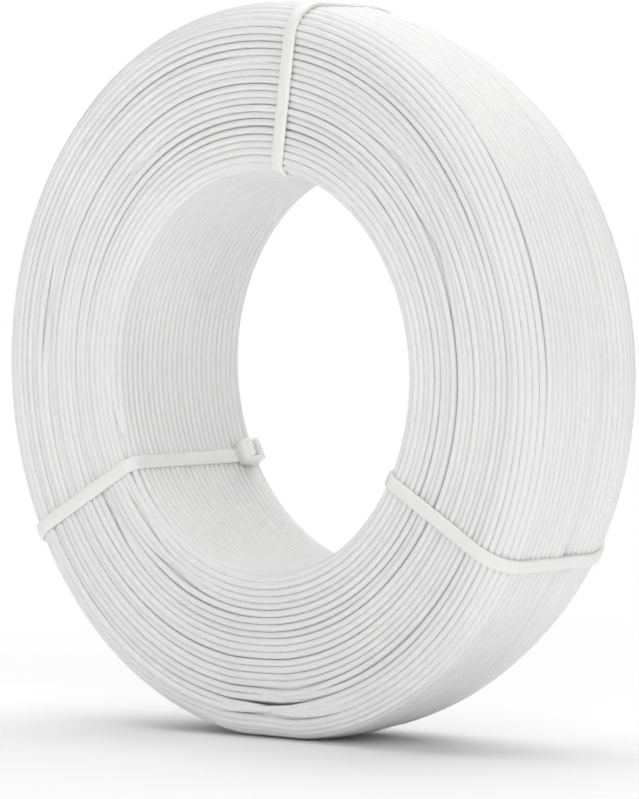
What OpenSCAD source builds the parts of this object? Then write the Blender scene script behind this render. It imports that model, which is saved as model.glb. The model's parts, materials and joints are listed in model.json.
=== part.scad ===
// A coil of 3D printer filament, wound without a spool and held by three cable ties.
// It stands on its rim. The coil's axis runs along Y, the front face is towards -Y,
// and Z = 0 is the surface that it stands on, straight below the middle of the coil.

/* [Winding] */
// Diameter of the bore, the size of the hub that the coil slides onto
bore_d = 101; // [95:1:105]
// Diameter over the rim
outer_d = 186; // [180:1:200]
// Width between the two side faces
winding_w = 47.5; // [42:0.5:52]
// Radius that rounds the rim into the front face
front_shoulder_r = 8; // [4:1:12]
// Radius that rounds the rim into the back face
back_shoulder_r = 18; // [6:1:20]
// Radius that rounds both edges of the bore
bore_edge_r = 3; // [1.5:0.5:3]
// Width of the flat that the strands settle into where the coil stands
stand_flat_w = 22; // [14:1:28]

/* [Cable ties] */
// Place of the tie near the top, in degrees up from +X
top_angle = 82; // [70:1:110]
// Place of the tie on the left, seen from the front
left_angle = 209; // [190:1:220]
// Place of the tie on the right, seen from the front
right_angle = 331; // [320:1:345]
// Width of the strap
strap_w = 3.6; // [3.2:0.1:4]
// Thickness of the strap
strap_t = 1.1; // [0.9:0.1:1.2]
// Width of the head, across the strap
head_w = 6.2; // [6:0.1:7]
// Length of the head, along the strap
head_l = 6.4; // [6.4:0.1:7.5]
// Height of the head, the way the strap goes through it
head_h = 4.8; // [4.6:0.1:5.4]
// Distance from the back face of the winding to the head
head_setback = 3.5; // [2:0.5:8]
// Length of trimmed tail that stands out of the head
tail_stub = 0.8; // [0.4:0.1:2]

/* [Hidden] */
$fn = 96;

bore_r = bore_d / 2;
outer_r = outer_d / 2;
half_w = winding_w / 2;
axis_h = sqrt(pow(outer_r, 2) - pow(stand_flat_w / 2, 2));

// The winding's section is a rectangle with rounded corners. Each corner is listed as
// [radius, 1 at the rim or -1 at the bore, 1 at the back or -1 at the front].
corners = [[bore_edge_r, -1, -1], [front_shoulder_r, 1, -1],
           [back_shoulder_r, 1, 1], [bore_edge_r, -1, 1]];

// The strap lies this far off the strands, and its flat-bottomed head a little more.
strap_gap = 0.05;
wall_r = bore_r - strap_gap;
head_r = wall_r - 0.1;

// Places along the coil's axis inside the head, from its front to the back wall of
// its slot. The slot clears the tail by slot_gap, and the pawl has pawl_room.
slot_gap = 0.2;
front_wall = 1.5;
pawl_room = 2.05;
head_back = half_w - head_setback;
head_front = head_back - head_l;
slot_front = head_front + front_wall;
tail_front = slot_front + slot_gap;
tail_back = tail_front + strap_t;
slot_back = tail_back + pawl_room;

// The pawl's hinge is sunk half into the slot's back wall. Its depth is measured up
// from the bore, like the teeth's.
hinge_depth = 0.9;
hinge_r = 0.4;
hinge_gap = 0.05;

// Teeth on the tail, and how far the pawl's own teeth and face stay off them.
tooth_h = 0.3;
tooth_l = 0.55;
tooth_pitch = 1.2;
first_tooth = 0.9;
tooth_gap = 0.08;
pawl_tip_l = 0.25;
pawl_end = 3.8;

// Larger than any piece, for cuts that go right through.
past = 1;

// The middle of a corner's round, as (distance from the coil's axis, place along it).
function corner_middle(c) =
    [c[1] > 0 ? outer_r - c[0] : bore_r + c[0], c[2] * (half_w - c[0])];

// The two ends of a corner's round, in the order that goes round the whole section.
function corner_ends(c, grow) =
    let (wall = corner_middle(c) + [c[1] * (c[0] + grow), 0],
         face = corner_middle(c) + [0, c[2] * (c[0] + grow)])
    c[1] == c[2] ? [wall, face] : [face, wall];

// Turns a shape drawn as (distance from the coil's axis, place along the axis) into
// a ring around the coil's axis.
module ring() {
    translate([0, 0, axis_h]) rotate([-90, 0, 0]) rotate_extrude(convexity = 4) children();
}

// Stands a shape drawn the same way in the plane of a tie, thick across the strap.
module at_tie(angle, thick) {
    translate([0, 0, axis_h]) rotate([0, -angle, 0])
        linear_extrude(height = thick, center = true, convexity = 6) children();
}

// A rectangle between two distances from the axis and two places along it.
module span(r1, r2, a1, a2) {
    translate([r1, a1]) square([r2 - r1, a2 - a1]);
}

// The section of the winding, grown outwards all round.
module winding_section(grow = 0) {
    polygon([for (c = corners) each corner_ends(c, grow)]);
    for (c = corners) translate(corner_middle(c)) circle(r = c[0] + grow);
}

module filament_winding() {
    color("white") difference() {
        ring() winding_section();
        translate([-outer_r, -winding_w, -outer_r]) cube([outer_d, 2 * winding_w, outer_r]);
    }
}

// The strap's loop around the section, open where the tail turns up into the head.
module strap_loop() {
    difference() {
        winding_section(strap_gap + strap_t);
        winding_section(strap_gap);
        span(wall_r - strap_t - past, bore_r, tail_front, slot_back);
    }
}

// The end of the strap, turned up through the head, with teeth towards the pawl.
module tail() {
    turn_r = wall_r - strap_t;
    intersection() {
        translate([turn_r, tail_front]) circle(r = strap_t);
        span(turn_r, wall_r, tail_front, tail_back);
    }
    span(wall_r - head_h - tail_stub, turn_r, tail_front, tail_back);
    for (depth = [first_tooth : tooth_pitch : head_h])
        polygon([[wall_r - depth, tail_back], [wall_r - depth - tooth_l, tail_back],
                 [wall_r - depth - tooth_l / 2, tail_back + tooth_h]]);
}

// The slot that the tail and the pawl stand in, and the way in under the front wall.
module head_slot() {
    span(wall_r - head_h - past, bore_r, slot_front, slot_back);
    span(wall_r - strap_t - slot_gap, bore_r, head_front - past, slot_back);
}

// A round along the pawl's hinge axis.
module hinge_round(r) {
    translate([wall_r - hinge_depth, slot_back]) circle(r = r);
}

module tie(angle) {
    slot_w = strap_w + 2 * slot_gap;
    color("ivory") {
        difference() {
            union() {
                difference() {
                    at_tie(angle, head_w) span(wall_r - head_h, head_r, head_front, head_back);
                    at_tie(angle, slot_w) head_slot();
                }
                at_tie(angle, strap_w) strap_loop();
            }
            at_tie(angle, slot_w) hinge_round(hinge_r + hinge_gap);
        }
        at_tie(angle, strap_w) tail();
    }
}

// The pawl is a lever on its hinge at the head's back wall. Its two teeth lie
// between the tail's teeth. Points are (depth from the bore, distance from the tail).
module pawl(angle) {
    face = tooth_h + tooth_gap;
    teeth = [for (k = [1, 2]) for (step = [-1, 0, 1])
        [first_tooth + tooth_l / 2 + tooth_pitch * (k - 0.5) + pawl_tip_l * step,
         step == 0 ? tooth_gap : face]];
    root = [[hinge_depth - 0.2, pawl_room - 0.3], [hinge_depth + hinge_r, face + 0.3]];
    back = [[pawl_end, face], [pawl_end, pawl_room - hinge_depth],
            [pawl_end - 1.6, pawl_room - 0.7], [hinge_depth + 0.15, pawl_room + 0.05]];
    color("ivory") union() {
        at_tie(angle, strap_w - slot_gap) hinge_round(hinge_r);
        at_tie(angle, strap_w - slot_gap)
            polygon([for (p = concat(root, teeth, back)) [wall_r - p[0], tail_back + p[1]]]);
    }
}

module tie_top() { tie(top_angle); }
module tie_left() { tie(left_angle); }
module tie_right() { tie(right_angle); }
module tie_top_pawl() { pawl(top_angle); }
module tie_left_pawl() { pawl(left_angle); }
module tie_right_pawl() { pawl(right_angle); }

filament_winding();
tie_top();
tie_left();
tie_right();
tie_top_pawl();
tie_left_pawl();
tie_right_pawl();
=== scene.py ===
"""Looks of a spool-less coil of white 3d printer filament, held by three cable ties.

Lengths are in millimetres and become metres where a mesh is made. The coil's axis runs
along Y. A place in the coil's section is (rho, y): the distance from the axis, and the
place along it, where the front face is towards -Y. theta is the angle up from +X.
"""

import json
import math

import bpy
import numpy as np
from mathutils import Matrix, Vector


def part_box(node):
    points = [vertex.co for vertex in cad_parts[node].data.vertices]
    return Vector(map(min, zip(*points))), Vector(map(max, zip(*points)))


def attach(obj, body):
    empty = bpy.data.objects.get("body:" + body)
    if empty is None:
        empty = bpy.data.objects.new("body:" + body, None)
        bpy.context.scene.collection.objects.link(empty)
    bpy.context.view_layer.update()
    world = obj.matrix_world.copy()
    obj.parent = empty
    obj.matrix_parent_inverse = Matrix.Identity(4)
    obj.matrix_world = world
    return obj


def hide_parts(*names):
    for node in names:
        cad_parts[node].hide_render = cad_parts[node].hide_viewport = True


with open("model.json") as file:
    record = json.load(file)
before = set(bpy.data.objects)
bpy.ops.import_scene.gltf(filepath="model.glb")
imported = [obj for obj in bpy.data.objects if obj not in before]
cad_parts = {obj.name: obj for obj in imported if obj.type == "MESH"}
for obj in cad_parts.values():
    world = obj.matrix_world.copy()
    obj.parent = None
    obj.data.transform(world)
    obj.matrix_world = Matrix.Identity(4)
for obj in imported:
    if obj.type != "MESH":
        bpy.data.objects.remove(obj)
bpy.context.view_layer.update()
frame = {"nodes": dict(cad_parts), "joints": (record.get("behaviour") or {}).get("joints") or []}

MM = 0.001

# ---------------------------------------------------------------- sizes, from the frame

STRAND_D = 1.75
STRAND_R = STRAND_D / 2

winding_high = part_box("filament_winding")[1]
winding_points = np.array([v.co for v in frame["nodes"]["filament_winding"].data.vertices])
OUTER_R = winding_high.x / MM
HALF_W = winding_high.y / MM
AXIS_H = winding_high.z / MM - OUTER_R
BORE_R = np.hypot(winding_points[:, 0], winding_points[:, 2] - AXIS_H * MM).min() / MM

# The corners of the winding's section, in order from the bore's front edge: radius,
# 1 at the rim or -1 at the bore, and 1 at the back or -1 at the front.
BORE_EDGE_R = 3.0
FRONT_SHOULDER_R = 8.0
BACK_SHOULDER_R = 18.0
CORNERS = (
    (BORE_EDGE_R, -1, -1),
    (FRONT_SHOULDER_R, 1, -1),
    (BACK_SHOULDER_R, 1, 1),
    (BORE_EDGE_R, -1, 1),
)

# Steps round the coil at which the strand's line is laid.
STEPS = 144
THETA = np.arange(STEPS) * 2 * math.pi / STEPS

rng = np.random.default_rng(7)


def steps_at(degrees):
    """The step round the coil that is nearest to an angle."""
    return int(round(degrees * STEPS / 360))


# ---------------------------------------------------------------- camera


def make_camera():
    """The viewpoint: a long lens, from the coil's right and a little above."""
    azimuth, elevation = math.radians(43.3), math.radians(2.6)
    distance, focal = 1.76, 391.7
    pan, tilt = math.radians(-0.013), math.radians(-0.247)
    centre = Vector((0, 0, AXIS_H * MM))
    ahead = -Vector((
        math.sin(azimuth) * math.cos(elevation),
        -math.cos(azimuth) * math.cos(elevation),
        math.sin(elevation),
    ))
    right = ahead.cross(Vector((0, 0, 1))).normalized()
    up = right.cross(ahead)
    aim = (ahead + math.tan(pan) * right + math.tan(tilt) * up).normalized()
    data = bpy.data.cameras.new("camera")
    data.sensor_fit, data.sensor_width, data.lens = "HORIZONTAL", 36.0, focal
    data.clip_start, data.clip_end = 0.1, 50
    camera = bpy.data.objects.new("camera", data)
    camera.location = centre - ahead * distance
    camera.rotation_euler = aim.to_track_quat("-Z", "Y").to_euler()
    bpy.context.scene.collection.objects.link(camera)
    bpy.context.scene.camera = camera


make_camera()

# ---------------------------------------------------------------- the winding's section


def section_path(depth, arc_points):
    """Points round the winding's section at that depth under its surface, from the bore's
    front edge by way of the front face, the rim and the back face to its back edge."""
    points = []
    for radius, outward, side in CORNERS:
        rho = OUTER_R - radius if outward > 0 else BORE_R + radius
        turn = np.linspace(0, math.pi / 2, arc_points)
        if outward != side:
            turn = turn[::-1]
        points += [
            (
                rho + outward * (radius - depth) * math.cos(a),
                side * (HALF_W - radius) + side * (radius - depth) * math.sin(a),
            )
            for a in turn
        ]
    return np.array(points)


def path_lengths(path):
    """How far along a path each of its points is."""
    return np.concatenate([[0], np.cumsum(np.linalg.norm(np.diff(path, axis=0), axis=1))])


OUTLINE = section_path(STRAND_R, 24)
OUTLINE_S = path_lengths(OUTLINE)


def on_outline(s, depth):
    """(rho, y) at distance s along the strands' outline and that deep under it."""
    near = 0.8
    point, ahead, behind = (
        np.array([np.interp(s + d, OUTLINE_S, OUTLINE[:, k]) for k in (0, 1)])
        for d in (0, near, -near)
    )
    along = (ahead - behind) / np.linalg.norm(ahead - behind, axis=0)
    return point + depth * np.array([-along[1], along[0]])


def waves(count, orders=5):
    """Smooth random curves round the coil, one row each, of about unit size. The quicker
    waves are smaller."""
    scale = 0.6
    k = np.arange(1, orders + 1)[:, None]
    size = rng.normal(size=(count, orders, 1)) / (0.6 + 0.4 * k)
    turn = rng.uniform(0, 2 * math.pi, size=(count, orders, 1))
    level = rng.normal(size=(count, 1)) * scale
    return level + (size * np.cos(k * THETA + turn)).sum(1) * scale


def share_out(length, depth, weights, unevenness):
    """Places along a line of that length for lanes that lie that deep, at each step round
    the coil. No two are nearer than a strand, and the room left over is shared out
    unevenly."""
    share = weights[:, None] * np.exp(unevenness * waves(len(depth) - 1))
    tight = np.sqrt(STRAND_D**2 - np.diff(depth, axis=0) ** 2)
    pitch = tight + (length - tight.sum(0)) * share / share.sum(0)
    return np.vstack([np.zeros(STEPS), np.cumsum(pitch, axis=0)])


# ---------------------------------------------------------------- lanes of the winding

# A lane is one turn's route: its (rho, y) at each step, how many steps apart its rings
# lie, and how many steps it takes to change over into it.
FINE, MEDIUM, COARSE = 1, 2, 4
SHELL_JOG, BORE_JOG, INSIDE_JOG = 14, 24, 16

# How far in from the rim or a face a lane still belongs to it.
NEAR_RIM, NEAR_FACE = 4, 4

# Lanes in the shell and in the bore's layer, and the spacing of the hidden ones.
SHELL_LANES = 68
BORE_LANES = 24
ROW_H = 1.5155
LANE_W = 1.76
VALLEY_H = 1.45

# How deep a strand lies under its layer's outline: the mean, how much it varies, and the
# most. The shell's depths are on a face. They shrink to the two shares given on the rim
# and by the bore, where the face is loose only from LOOSE_FROM mm on.
SHELL_SUNK = (0.3, 0.32, 1.0)
BORE_SUNK = (0.05, 0.04, 0.15)
LOOSE_ON_RIM, LOOSE_BY_BORE, LOOSE_FROM = 0.3, 0.05, 12
SHELL_UNEVENNESS, BORE_UNEVENNESS = 1.2, 0.5


def lane(route, spacing, jog):
    return {"route": route, "spacing": spacing, "jog": jog}


def depths(count, sunk):
    """How deep each of that many lanes lies, at each step round the coil."""
    mean, spread, most = sunk
    return np.clip(mean + spread * waves(count), 0, most)


def shell_lanes():
    """The outermost strands of both faces and the rim, and the strands that show between
    them, which lie in the valleys behind."""
    length = OUTLINE_S[-1]
    place = np.linspace(0, length, SHELL_LANES)
    on_rim = np.interp(place, OUTLINE_S, OUTLINE[:, 0]) > OUTER_R - NEAR_RIM
    from_bore = np.minimum(place, length - place)
    on_face = np.interp(from_bore, [BORE_EDGE_R, LOOSE_FROM], [LOOSE_BY_BORE, 1.0])
    looseness = np.where(on_rim, LOOSE_ON_RIM, on_face)
    sunk = depths(SHELL_LANES, SHELL_SUNK) * looseness[:, None]
    weights = (looseness[1:] + looseness[:-1]) / 2
    s = share_out(length, sunk, weights, SHELL_UNEVENNESS)
    shell = [
        lane(on_outline(s[i], sunk[i]), FINE, SHELL_JOG) for i in range(1, SHELL_LANES - 1)
    ]
    valleys = []
    for i in range(SHELL_LANES - 1):
        across, down = s[i + 1] - s[i], sunk[i + 1] - sunk[i]
        apart = np.hypot(across, down)
        behind = np.sqrt(np.maximum(STRAND_D**2 - (apart / 2) ** 2, 1.0)) / apart
        place = (s[i] + s[i + 1]) / 2 - behind * down
        depth = (sunk[i] + sunk[i + 1]) / 2 + behind * across
        valleys.append(lane(on_outline(place, depth), MEDIUM, SHELL_JOG))
    return shell, valleys


def bore_lanes():
    """The first layer, wound against the hub, from the back edge to the front."""
    width = 2 * (HALF_W - BORE_EDGE_R)
    sunk = depths(BORE_LANES, BORE_SUNK)
    y = width / 2 - share_out(width, sunk, np.ones(BORE_LANES - 1), BORE_UNEVENNESS)
    return [
        lane(np.array([BORE_R + STRAND_R + sunk[i], y[i]]), FINE, BORE_JOG)
        for i in range(BORE_LANES)
    ]


def inside_lanes(rho, shifted):
    """One hidden row of the winding at that radius, from front to back."""
    inset = STRAND_R + VALLEY_H + ROW_H
    reach = []
    for radius in (FRONT_SHOULDER_R, BACK_SHOULDER_R):
        beyond = max(rho - (OUTER_R - radius), 0)
        room = (radius - inset) ** 2 - beyond**2
        if room < 0:
            return []
        reach.append(HALF_W - radius + math.sqrt(room))
    most = math.ceil(HALF_W / LANE_W)
    y = np.arange(-most, most + 1) * LANE_W + (LANE_W / 2 if shifted else 0)
    return [
        lane(np.array([np.full(STEPS, rho), np.full(STEPS, v)]), COARSE, INSIDE_JOG)
        for v in y
        if -reach[0] <= v <= reach[1]
    ]


def mean_rho(one):
    return one["route"][0].mean()


def mean_y(one):
    return one["route"][1].mean()


def winding_order(first):
    """Every turn of the winding in the order in which it is wound. Row after row goes
    across and back, and each face's own strands are laid as the rows reach them, from a
    seam. The first seam is at the step called first, so that the bore's last turn is
    whole. The rim's strands come last, as one layer from front to back."""
    shell, valleys = shell_lanes()
    face_limit = {-1: OUTER_R - FRONT_SHOULDER_R - 1, 1: OUTER_R - BACK_SHOULDER_R - 1}

    def on_face(one, side):
        return side * mean_y(one) > HALF_W - NEAR_FACE and mean_rho(one) < face_limit[side]

    faces = {
        side: sorted((o for o in shell + valleys if on_face(o, side)), key=mean_rho)
        for side in (-1, 1)
    }
    rim = [o for o in shell if not on_face(o, -1) and not on_face(o, 1)]
    under_rim = [o for o in valleys if not on_face(o, -1) and not on_face(o, 1)]

    order = bore_lanes()
    side, rho, row = -1, BORE_R + STRAND_R, 0
    while True:
        rho, row = rho + ROW_H, row + 1
        reached = [o for o in faces[side] if mean_rho(o) < rho]
        faces[side] = [o for o in faces[side] if mean_rho(o) >= rho]
        seam = first if row == 1 else int(rng.integers(STEPS))
        for one in reached:
            one["seam"] = seam
        inside = inside_lanes(rho, row % 2 == 1)
        if not inside:
            break
        order += reached + inside[::-side]
        side = -side
    order += sorted(under_rim, key=mean_y, reverse=True)
    order += sorted(rim, key=mean_y)
    return order


def strand_line(order, first, last):
    """The strand's line through all its lanes, as (rho, y) and the step round the coil.
    Where one lane ends, the line changes over into the next. It starts at the step
    called first, and its last turn stops short at the step called last."""
    rho, y, at = [], [], []
    start = first
    for i, one in enumerate(order):
        after = order[i + 1] if i + 1 < len(order) else one
        before = order[i - 1] if i else one
        turn = STEPS
        if "seam" in after and "seam" not in one:
            turn += (after["seam"] - start + STEPS // 2) % STEPS - STEPS // 2
        if after is one:
            turn = (last - start) % STEPS
        step = np.arange(0, turn, one["spacing"])
        here = (start + step) % STEPS
        place = one["route"][:, here].copy()
        for other, gone, jog in (
            (before, step, one["jog"]),
            (after, turn - step, after["jog"]),
        ):
            share = np.clip(0.5 - gone / jog, 0, 0.5)
            ease = 2 * share * share
            place += ease * (other["route"][:, here] - place)
        rho.append(place[0])
        y.append(place[1])
        at.append(start + step)
        start += turn
    return np.concatenate(rho), np.concatenate(y), np.concatenate(at)


def eased(x):
    """0 below 0, 1 above 1, and a smooth step between."""
    x = np.clip(x, 0, 1)
    return x * x * (3 - 2 * x)


# The step down behind the last layer's edge, and how wide it is.
EDGE_STEP, EDGE_W = 0.9, 2.5
# From y = SLACK_FROM the rim is slack, fully so SLACK_OVER further back. It hangs in by
# SLACK_IN at the top and bottom, and by SLACK_IN less SLACK_OUT at the sides.
SLACK_FROM, SLACK_OVER = 2, 16
SLACK_IN, SLACK_OUT = 1.8, 4.4
# Strands move from this radius on, by their full share this much further out.
FIRM_R, FIRM_OVER = 60, 30


def settled(rho, y, theta):
    """rho as the loose winding lies. The lowest strands are pressed up to the surface that
    the coil stands on. The last layer on the rim ends along a wandering edge, with the
    strands behind it a little lower. The back of the rim is slack above and below, and
    bulges at the sides."""
    down = np.maximum(-np.sin(theta), 1e-3)
    pressed = np.maximum(OUTER_R - AXIS_H / down, 0)
    edge = -1.5 + 3.0 * np.cos(theta - math.radians(50)) + 0.8 * np.sin(3 * theta)
    lower = EDGE_STEP * eased((y - edge) / EDGE_W)
    hang = SLACK_IN - SLACK_OUT * np.cos(theta) ** 2
    slack = eased((y - SLACK_FROM) / SLACK_OVER) * hang
    return rho - (pressed + lower + slack) * np.clip((rho - FIRM_R) / FIRM_OVER, 0, 1)


def to_frame(rho, y, theta, across=0.0):
    """Points in the frame, in metres. across is the distance off the plane at theta."""
    return np.stack(
        [
            rho * np.cos(theta) - across * np.sin(theta),
            y + 0 * rho,
            AXIS_H + rho * np.sin(theta) + across * np.cos(theta),
        ],
        axis=-1,
    ) * MM


# ---------------------------------------------------------------- meshes


def add_mesh(name, points, faces):
    """A smooth mesh object from points and faces, all of them tuples of corners."""
    mesh = bpy.data.meshes.new(name)
    mesh.from_pydata(points.reshape(-1, 3).tolist(), [], faces)
    mesh.polygons.foreach_set("use_smooth", [True] * len(mesh.polygons))
    mesh.update()
    piece = bpy.data.objects.new(name, mesh)
    bpy.context.scene.collection.objects.link(piece)
    return piece


def ring_faces(rings, sides, first=0, closed=False):
    """Quads between rings of points that follow each other."""
    i = np.arange(rings if closed else rings - 1)[:, None]
    j = np.arange(sides)[None, :]
    here, there = i * sides, (i + 1) % rings * sides
    k = (j + 1) % sides
    quads = np.stack([here + j, here + k, there + k, there + j], axis=-1).reshape(-1, 4)
    return (quads + first).tolist()


def tube_faces(rings, sides, first=0):
    """Quads between rings, and a cap on each end."""
    last = first + (rings - 1) * sides
    caps = [list(range(first, first + sides))[::-1], list(range(last, last + sides))]
    return ring_faces(rings, sides, first) + caps


TUBE_SIDES = 10
RUN_LENGTH_M = 55.0


def make_runs(material, first, last):
    """The strand, as tubes that follow each other, because a cord is at most 60 m."""
    rho, y, at = strand_line(winding_order(first), first, last)
    theta = at * 2 * math.pi / STEPS
    rho = settled(rho, y, theta)
    line = to_frame(rho, y, theta)
    along = path_lengths(line)
    count = math.ceil(along[-1] / RUN_LENGTH_M)
    cuts = np.searchsorted(along, np.linspace(0, along[-1], count + 1)[1:-1])
    ends = [0, *cuts.tolist(), len(line) - 1]
    around = np.arange(TUBE_SIDES) * 2 * math.pi / TUBE_SIDES
    for k in range(count):
        part = slice(ends[k], ends[k + 1] + 1)
        points = to_frame(
            rho[part, None] + STRAND_R * np.cos(around),
            y[part, None] + STRAND_R * np.sin(around),
            theta[part, None] + 0 * around,
        )
        faces = tube_faces(points.shape[0], TUBE_SIDES)
        run = add_mesh(f"filament_run_{k + 1}", points, faces)
        run.data.materials.append(material)
        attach(run, "coil")
        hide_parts("filament_winding")
    print(f"strand {along[-1]:.1f} m, {len(line)} rings, {count} runs")


# ---------------------------------------------------------------- cable ties

# Sizes and places of a tie, as in the CAD source. Places are along the coil's axis.
STRAP_W = 3.6
STRAP_T = 1.1
STRAP_GAP = 0.05
HEAD_W = 6.2
HEAD_L = 6.4
HEAD_H = 4.8
HEAD_GAP = 0.1
HEAD_SETBACK = 3.5
FRONT_WALL = 1.5
SLOT_GAP = 0.2
PAWL_ROOM = 2.05
TAIL_STUB = 0.8
HEAD_BACK = HALF_W - HEAD_SETBACK
HEAD_FRONT = HEAD_BACK - HEAD_L
SLOT_FRONT = HEAD_FRONT + FRONT_WALL
TAIL_FRONT = SLOT_FRONT + SLOT_GAP
TAIL_BACK = TAIL_FRONT + STRAP_T
SLOT_BACK = TAIL_BACK + PAWL_ROOM
SLOT_W = STRAP_W + 2 * SLOT_GAP
WALL_R = BORE_R - STRAP_GAP
TOOTH_PLACES = (0.9, 2.1, 3.3, 4.5)

# The strap is pulled down this far among the strands. Only between the bore's edges and
# the head does it rise to the CAD strap's place.
STRAP_BITE = 0.25


def rounded_rectangle(width, height, radius, corner_points=4):
    """Points round a rectangle whose middle is the origin."""
    turn = np.linspace(0, math.pi / 2, corner_points)
    points = []
    for k, (sx, sy) in enumerate(((1, 1), (-1, 1), (-1, -1), (1, -1))):
        middle = np.array([sx * (width / 2 - radius), sy * (height / 2 - radius)])
        a = turn + k * math.pi / 2
        points.append(middle + radius * np.stack([np.cos(a), np.sin(a)], axis=-1))
    return np.concatenate(points)


def strap_path():
    """The middle line of the strap, from the head's back wall out over the back face, the
    rim and the front face, back along the bore, and up through the head as the tail."""
    middle = WALL_R - STRAP_T / 2
    loop = section_path(STRAP_BITE - STRAP_T / 2, 10)[::-1]
    bend = np.linspace(0, math.pi / 2, 6)
    turn_up = np.stack(
        [WALL_R - STRAP_T + STRAP_T / 2 * np.cos(bend), TAIL_FRONT + STRAP_T / 2 * np.sin(bend)],
        axis=-1,
    )
    tail_end = (WALL_R - HEAD_H - TAIL_STUB, TAIL_FRONT + STRAP_T / 2)
    return np.vstack([(middle, SLOT_BACK + 0.3), loop, turn_up, tail_end])


def strap_mesh(theta):
    """A rounded flat strap swept along its path in the plane at theta."""
    path = strap_path()
    along = np.gradient(path, axis=0)
    along[1:-1] = sum(
        d / np.linalg.norm(d, axis=1, keepdims=True)
        for d in (path[1:-1] - path[:-2], path[2:] - path[1:-1])
    )
    along /= np.linalg.norm(along, axis=1, keepdims=True)
    section = rounded_rectangle(STRAP_T, STRAP_W, 0.4)
    off, across = section[:, 0], section[:, 1]
    rho = path[:, :1] + along[:, 1:] * off
    y = path[:, 1:] - along[:, :1] * off
    rho = settled(rho, y, theta)
    return to_frame(rho, y, theta, across + 0 * rho), tube_faces(len(path), len(section))


def head_mesh(theta):
    """A block with rounded edges round the slot that the tail comes through. It is a ring
    of loops, down its outside and up its slot. A loop is its rho, its length and width,
    the radius of its corners, and the front of the head or the slot that it goes round.
    In front of the slot's back the foot is cut away, where the strap runs under it."""
    length, slot_length = HEAD_BACK - HEAD_FRONT, SLOT_BACK - SLOT_FRONT
    top, foot = WALL_R - HEAD_H, WALL_R - HEAD_GAP
    loops = (
        (foot, length - 0.6, HEAD_W - 0.6, 0.5, HEAD_FRONT),
        (foot - 0.3, length, HEAD_W, 0.8, HEAD_FRONT),
        (top + 0.5, length, HEAD_W, 0.8, HEAD_FRONT),
        (top + 0.15, length - 0.3, HEAD_W - 0.3, 0.7, HEAD_FRONT),
        (top, length - 0.9, HEAD_W - 0.9, 0.5, HEAD_FRONT),
        (top, slot_length + 0.5, SLOT_W + 0.5, 0.5, SLOT_FRONT),
        (top + 0.25, slot_length, SLOT_W, 0.3, SLOT_FRONT),
        (foot, slot_length, SLOT_W, 0.3, SLOT_FRONT),
    )
    rho, y, across = [], [], []
    for level, size, width, radius, front in loops:
        whole = length if front == HEAD_FRONT else slot_length
        loop = rounded_rectangle(size, width, radius)
        place = front + whole / 2 + loop[:, 0]
        rho.append(np.where(place < SLOT_BACK, min(level, WALL_R - STRAP_T - SLOT_GAP), level))
        y.append(place)
        across.append(loop[:, 1])
    points = to_frame(np.array(rho), np.array(y), theta, np.array(across))
    return points, ring_faces(len(loops), points.shape[1], closed=True)


def tooth_mesh(theta, depth):
    """One tooth on the tail, towards the pawl. Its foot is inside the tail."""
    length, height, foot = 0.55, 0.3, 0.1
    rho = WALL_R - depth - np.array([0, 0, length / 2, length, length])
    y = TAIL_BACK + np.array([-foot, 0, height, 0, -foot])
    across = np.array([[-1], [1]]) * (STRAP_W / 2 - 0.3)
    points = to_frame(rho + 0 * across, y + 0 * across, theta, across + 0 * rho)
    return points, tube_faces(2, len(rho))


def make_tie(name, theta, material):
    """The moulding of a tie: its strap, its head and the tail's teeth, as one mesh."""
    parts = [strap_mesh(theta), head_mesh(theta)]
    parts += [tooth_mesh(theta, depth) for depth in TOOTH_PLACES]
    points, faces = [], []
    for part_points, part_faces in parts:
        first = sum(len(p) for p in points)
        points.append(part_points.reshape(-1, 3))
        faces += [[corner + first for corner in face] for face in part_faces]
    tie = add_mesh(f"{name}_moulding", np.concatenate(points), faces)
    tie.data.materials.append(material)
    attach(tie, "coil")
    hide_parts(name)


# ---------------------------------------------------------------- materials


def principled(name, **values):
    """A new material and its shader, with sockets set by name."""
    material = bpy.data.materials.new(name)
    material.use_nodes = True
    shader = material.node_tree.nodes["Principled BSDF"]
    for socket, value in values.items():
        shader.inputs[socket.replace("_", " ")].default_value = value
    return material, shader


def noise(material, scale, detail=2.0):
    """A noise texture laid through the object at that many cells a metre."""
    tree = material.node_tree
    place = tree.nodes.new("ShaderNodeTexCoord")
    texture = tree.nodes.new("ShaderNodeTexNoise")
    texture.inputs["Scale"].default_value = scale
    texture.inputs["Detail"].default_value = detail
    tree.links.new(place.outputs["Object"], texture.inputs["Vector"])
    return texture.outputs["Fac"]


def between(material, fac, low, high, socket):
    """Varies a socket with a texture, mostly from low to high and smoothly past both."""
    tree = material.node_tree
    ramp = tree.nodes.new("ShaderNodeMapRange")
    ramp.clamp = False
    ramp.inputs["From Min"].default_value = 0.3
    ramp.inputs["From Max"].default_value = 0.7
    ramp.inputs["To Min"].default_value = low
    ramp.inputs["To Max"].default_value = high
    tree.links.new(fac, ramp.inputs["Value"])
    tree.links.new(ramp.outputs["Result"], socket)


def tint(material, shader, fac, low, high):
    """Colours a surface between two colours with a texture."""
    tree = material.node_tree
    ramp = tree.nodes.new("ShaderNodeValToRGB")
    ramp.color_ramp.elements[0].position = 0.3
    ramp.color_ramp.elements[1].position = 0.7
    ramp.color_ramp.elements[0].color = (*low, 1)
    ramp.color_ramp.elements[1].color = (*high, 1)
    tree.links.new(fac, ramp.inputs["Fac"])
    tree.links.new(ramp.outputs["Color"], shader.inputs["Base Color"])


def bump(material, shader, fac, height):
    """Roughens a surface with a texture, by that height in metres."""
    tree = material.node_tree
    node = tree.nodes.new("ShaderNodeBump")
    node.inputs["Strength"].default_value = 0.5
    node.inputs["Distance"].default_value = height
    tree.links.new(fac, node.inputs["Height"])
    tree.links.new(node.outputs["Normal"], shader.inputs["Normal"])


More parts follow.
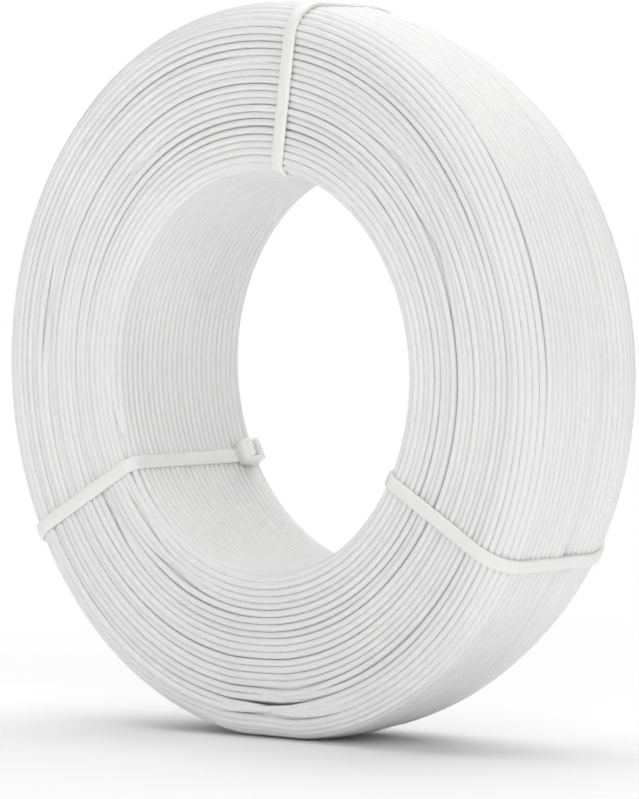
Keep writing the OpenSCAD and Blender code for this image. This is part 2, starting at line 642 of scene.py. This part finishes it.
def filament_material():
    """Glossy white plastic, a little cloudy under its surface."""
    material, shader = principled(
        "filament",
        IOR=1.46,
        Subsurface_Weight=0.6,
        Subsurface_Radius=(1.0, 1.0, 1.0),
        Subsurface_Scale=0.001,
    )
    shader.subsurface_method = "BURLEY"
    tint(material, shader, noise(material, 45), (0.83, 0.832, 0.83), (0.855, 0.855, 0.852))
    between(material, noise(material, 60), 0.3, 0.37, shader.inputs["Roughness"])
    return material


def nylon_material():
    """Natural nylon: milky, slightly warm and satin from its mould."""
    material, shader = principled(
        "nylon",
        IOR=1.53,
        Subsurface_Weight=0.5,
        Subsurface_Radius=(1.0, 0.97, 0.9),
        Subsurface_Scale=0.0015,
    )
    shader.subsurface_method = "BURLEY"
    tint(material, shader, noise(material, 150), (0.88, 0.88, 0.86), (0.90, 0.90, 0.885))
    between(material, noise(material, 900), 0.34, 0.46, shader.inputs["Roughness"])
    bump(material, shader, noise(material, 2500, 3), 0.00003)
    return material


def floor_material():
    """Matt and nearly white."""
    material, shader = principled("floor", Roughness=0.9)
    tint(material, shader, noise(material, 3), (0.96, 0.96, 0.96), (0.97, 0.97, 0.97))
    return material


# ---------------------------------------------------------------- studio


# How bright a white surface is made by the pale room, and then by each soft light.
AMBIENT = 0.25
LIGHTS = (
    # name, brightness of a surface that faces it, where it comes from, its width in degrees
    ("overhead", 0.72, (-0.2, 0.3, 1.0), 80),
    ("right_fill", 0.42, (1.0, -0.9, 0.22), 70),
    ("front_fill", 0.10, (-0.1, -1.0, 0.25), 100),
)


def make_floor():
    """A wide floor, level with the surface that the coil stands on."""
    size = 4.0
    corners = [[-size, -size, 0], [size, -size, 0], [size, size, 0], [-size, size, 0]]
    floor = add_mesh("floor", np.array(corners), [(0, 1, 2, 3)])
    floor.data.materials.append(floor_material())


def make_world():
    """A pale room, which the camera sees as white."""
    world = bpy.data.worlds.new("world")
    world.use_nodes = True
    background = world.node_tree.nodes["Background"]
    background.inputs["Color"].default_value = (1, 1, 1, 1)
    path = world.node_tree.nodes.new("ShaderNodeLightPath")
    strength = world.node_tree.nodes.new("ShaderNodeMapRange")
    strength.inputs["To Min"].default_value = AMBIENT
    strength.inputs["To Max"].default_value = 1.1
    world.node_tree.links.new(path.outputs["Is Camera Ray"], strength.inputs["Value"])
    world.node_tree.links.new(strength.outputs["Result"], background.inputs["Strength"])
    bpy.context.scene.world = world
    bpy.context.scene.view_settings.view_transform = "Standard"
    bpy.context.scene.view_settings.look = "None"


def make_lights():
    """The soft lights, which are wide suns."""
    for name, brightness, source, width in LIGHTS:
        light = bpy.data.lights.new(name, "SUN")
        light.energy, light.angle = brightness * math.pi, math.radians(width)
        lamp = bpy.data.objects.new(name, light)
        lamp.rotation_euler = Vector(source).to_track_quat("Z", "Y").to_euler()
        bpy.context.scene.collection.objects.link(lamp)


filament = filament_material()
nylon = nylon_material()

# Each tie's theta, by its name.
angles = {}
for joint in frame["joints"]:
    x, _, z = joint["pos_m"]
    angles[joint["name"].removesuffix("_pawl_hinge")] = math.atan2(z - AXIS_H * MM, x)

# The strand begins this many degrees before the left tie, and ends as many past the top one.
PAST_TIE = 3
make_runs(
    filament,
    first=steps_at(math.degrees(angles["left"]) - PAST_TIE),
    last=steps_at(math.degrees(angles["top"]) + PAST_TIE),
)

for name, theta in angles.items():
    make_tie(f"tie_{name}", theta, nylon)
    pawl = frame["nodes"][f"tie_{name}_pawl"]
    pawl.data.materials.clear()
    pawl.data.materials.append(nylon)
make_floor()
make_world()
make_lights()
